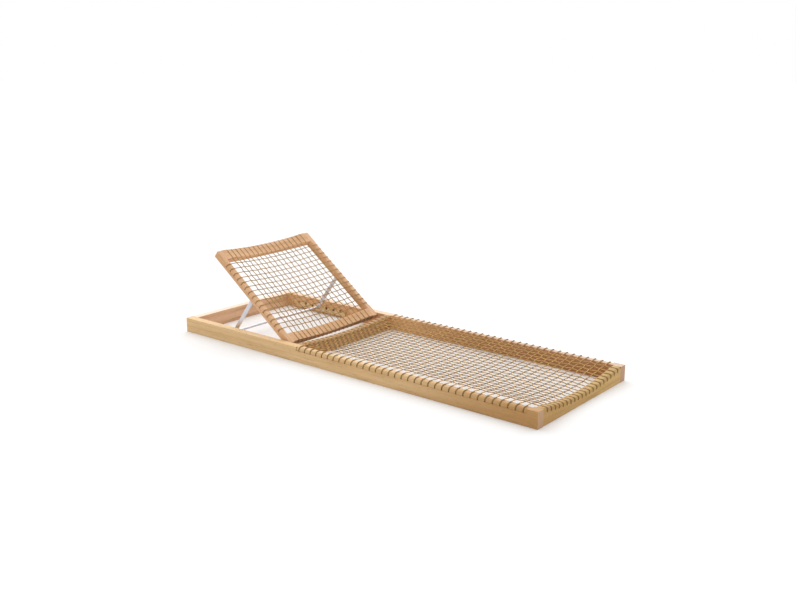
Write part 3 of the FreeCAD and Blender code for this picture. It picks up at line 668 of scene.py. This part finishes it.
def braided_cord(name):
    """Braided cord, with its strands crossing in small diamonds along the cord's own length.

    It takes painted shade, stored on its mesh, where it lies in a groove, where it is pressed against another
    cord and over the backrest's net."""
    finish = Finish(bpy.data.materials.new(name))
    run = finish.parts(finish.add("ShaderNodeUVMap", {}, uv_map="along_cord").outputs["UV"])
    shade = finish.add("ShaderNodeAttribute", {}, attribute_name="shade").outputs["Fac"]
    along = finish.math("MULTIPLY", run["X"], 2 * math.pi * strand_turns / lay_length)
    around = finish.math("MULTIPLY", run["Y"], 2 * math.pi * strand_turns)
    right_hand = finish.math("SINE", finish.math("ADD", along, around))
    left_hand = finish.math("SINE", finish.math("SUBTRACT", along, around))
    diamonds = finish.math("MULTIPLY", right_hand, left_hand)
    height = finish.ranged(diamonds, *strand_range, 0.0, 1.0)
    place = object_place(finish)
    fading = finish.noise(place, scale=9.0, detail=3.0)
    fuzz = finish.noise(place, scale=2600.0, detail=2.0)
    colour = finish.mix(height, cord_dark, cord_light)
    # Painted shade, from the shade values stored on the mesh
    colour = finish.mix(shade, colour, cord_shade_brown)
    colour = toned(finish, colour, fading, fading_tone)
    colour = toned(finish, colour, fuzz, fuzz_tone)
    relief = finish.math("MULTIPLY_ADD", fuzz, fuzz_height, height)
    return finish.shader(Base_Color=colour, Roughness=0.82, Specular_IOR_Level=0.2, Sheen_Weight=0.15,
                         Normal=finish.bump(relief, distance=0.0004, strength=0.6))


def satin_steel(name, rotation):
    """Brushed stainless steel, brushed along X once turned by the rotation."""
    finish = Finish(bpy.data.materials.new(name))
    brush = grain_noise(finish, rotation, (0.0, 0.0, 0.0), **brush_texture)
    cloud = finish.noise(object_place(finish), scale=24.0, detail=3.0)
    colour = finish.mix(finish.ranged(cloud, *noise_range, 0.0, 1.0), steel_bright, steel_grey)
    colour = toned(finish, colour, brush, brush_tone)
    rough = finish.ranged(brush, *noise_range, *steel_roughness)
    return finish.shader(Base_Color=colour, Metallic=1.0, Roughness=rough,
                         Normal=finish.bump(brush, distance=0.0001, strength=0.3))


def nylon(name):
    """Pale moulded nylon, with a fine eggshell surface."""
    finish = Finish(bpy.data.materials.new(name))
    place = object_place(finish)
    grain = finish.noise(place, scale=3200.0, detail=2.0)
    cloud = finish.noise(place, scale=60.0, detail=2.0)
    colour = finish.mix(finish.ranged(cloud, *nylon_range, 0.0, 1.0), nylon_light, nylon_dark)
    rough = finish.ranged(grain, *noise_range, *nylon_roughness)
    return finish.shader(Base_Color=colour, Roughness=rough,
                         Normal=finish.bump(grain, distance=0.0001, strength=0.25))


# Solids and their materials

def dress(node, material):
    """Gives a solid its material."""
    materials = nodes[node].data.materials
    materials.clear()
    materials.append(material)


head_dish = seat["dishes"][0]
foot_dish = seat["dishes"][-1]
# Each board's grain turn, seed, tones and extras, among them painted shade towards an end, painted light on
# tops, and painted shade in grooves, notches and at the backrest's foot
boards = {
    "side_rail_right": (along_length, 1, honey, {"shaded_end": (0.0, 1.0, 0.75, end_shade_amber), "grooved": True}),
    "side_rail_left": (along_length, 2, tawny, {
        "shaded_end": (-0.38, 0.35, 0.7, end_shade_umber), "top_light_share": 0.4, "grooved": True}),
    "head_rail": (across_width, 3, blush, {"top_light_share": 0.6}),
    "foot_rail": (across_width, 4, ochre, {
        "shaded_end": (-end_rail_half, end_rail_half, 0.5, end_shade_amber), "grooved": True, "hollow": foot_dish}),
    "seat_head_rail": (across_width, 5, russet, {"grooved": True, "hollow": head_dish}),
    "rack_left": (along_length, 6, honey, {"notched": True}),
    "rack_right": (along_length, 7, honey, {"notched": True}),
    "back_stile_left": (along_backrest, 8, rose, {}),
    "back_stile_right": (along_backrest, 9, rose, {}),
    "back_top_rail": (across_width, 10, rose, {}),
    "back_bottom_rail": (across_width, 11, caramel, {"dark_foot": True}),
    "frame_dowels": (across_width, 12, pale_honey, {}),
    "back_dowels": (across_width, 13, pale_honey, {}),
}
for node, (rotation, seed, tones, extras) in boards.items():
    dress(node, teak("teak_" + node, rotation, seed, tones, **extras))

for node, end in (("foot_rail", 0), ("seat_head_rail", 1)):
    shaped = end_rail_object(node + "_shaped", seat, end, nodes[node].data.materials[0])
    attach(shaped, "base")
    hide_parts(node)

fittings = {
    satin_steel("steel_legs", along_legs): ("prop_leg_left", "prop_leg_right"),
    satin_steel("steel_bar", across_width): (
        "prop_crossbar", "hinge_pins", "hinge_washers", "prop_pivot_pins", "rack_screws"),
    satin_steel("steel_fittings", along_backrest): (
        "prop_bracket_left", "prop_bracket_right", "prop_bracket_screws"),
    nylon("nylon_bush"): ("hinge_bushes", "prop_bushes"),
}
for material, members in fittings.items():
    for node in members:
        dress(node, material)

# Woven nets in place of the two layers of plain cords
cord_finish = braided_cord("braided_cord")
upright = Matrix.Translation(hinge) @ Matrix.Rotation(back_tilt, 4, "Y") @ Matrix.Translation(-hinge)
flat = Matrix.Identity(4)
along_x = Vector((1.0, 0.0, 0.0))
along_y = Vector((0.0, 1.0, 0.0))
for part, net, place, body in (("seat", seat, flat, "base"), ("back", back, upright, "backrest")):
    cross_routes = [cross_route(net, row) for row in range(len(net["cross"]))]
    long_routes = [long_route(net, column) for column in range(len(net["long"]))]
    for direction, routes, across in (("cross", cross_routes, along_x), ("long", long_routes, along_y)):
        woven = cord_object(part + "_" + direction + "_weave", routes, across, place, cord_finish)
        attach(woven, body)
        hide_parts(part + "_" + direction + "_cords")


# Floor, light and camera
floor_half = 30.0
floor_grey = 0.9
floor_lift = 0.08
ambient = 0.65
key_direction = Vector((-0.45, 0.5, 0.60))
key_strength = 2.25
key_width = math.radians(100.0)
camera_lens = 44.12
camera_sensor = 36.0
camera_place = (2.7114, -3.2710, 1.3864)
camera_turn = (math.radians(75.18), 0.0, math.radians(39.09))


def seen_directly(finish):
    """1 for what the camera sees, straight or through gloss and glass, and 0 for light that bounces on."""
    path = finish.add("ShaderNodeLightPath", {})
    direct = finish.math("MAXIMUM", path.outputs["Is Camera Ray"], path.outputs["Is Glossy Ray"])
    return finish.math("MAXIMUM", direct, path.outputs["Is Transmission Ray"])


floor = Finish(bpy.data.materials.new("pale_floor"))
surface = floor.add("ShaderNodeBsdfDiffuse", {"Color": (floor_grey, floor_grey, floor_grey, 1.0)})
lift = floor.math("MULTIPLY", seen_directly(floor), floor_lift)
glow = floor.add("ShaderNodeEmission", {"Strength": lift})
both = floor.add("ShaderNodeAddShader", {0: surface.outputs[0], 1: glow.outputs[0]})
floor.add("ShaderNodeOutputMaterial", {"Surface": both.outputs[0]})
floor_mesh = bpy.data.meshes.new("floor")
floor_mesh.from_pydata([(-floor_half, -floor_half, 0.0), (floor_half, -floor_half, 0.0),
                        (floor_half, floor_half, 0.0), (-floor_half, floor_half, 0.0)], [], [(0, 1, 2, 3)])
floor_mesh.materials.append(floor.owner)
floor_object = linked("floor", floor_mesh)

world = bpy.data.worlds.new("studio")
bpy.context.scene.world = world
studio = Finish(world)
strength = studio.math("MULTIPLY_ADD", seen_directly(studio), 1.0 - ambient, ambient)
background = studio.add("ShaderNodeBackground", {"Color": (1.0, 1.0, 1.0, 1.0), "Strength": strength})
studio.add("ShaderNodeOutputWorld", {"Surface": background.outputs[0]})

key_lamp = bpy.data.lights.new("key", "SUN")
key_lamp.energy = key_strength
key_lamp.angle = key_width
key = linked("key", key_lamp)
key.rotation_euler = key_direction.to_track_quat("Z", "Y").to_euler()

camera_data = bpy.data.cameras.new("camera")
camera_data.lens = camera_lens
camera_data.sensor_width = camera_sensor
camera = linked("camera", camera_data)
camera.location = camera_place
camera.rotation_euler = camera_turn
bpy.context.scene.camera = camera
bpy.context.scene.view_settings.view_transform = "Standard"
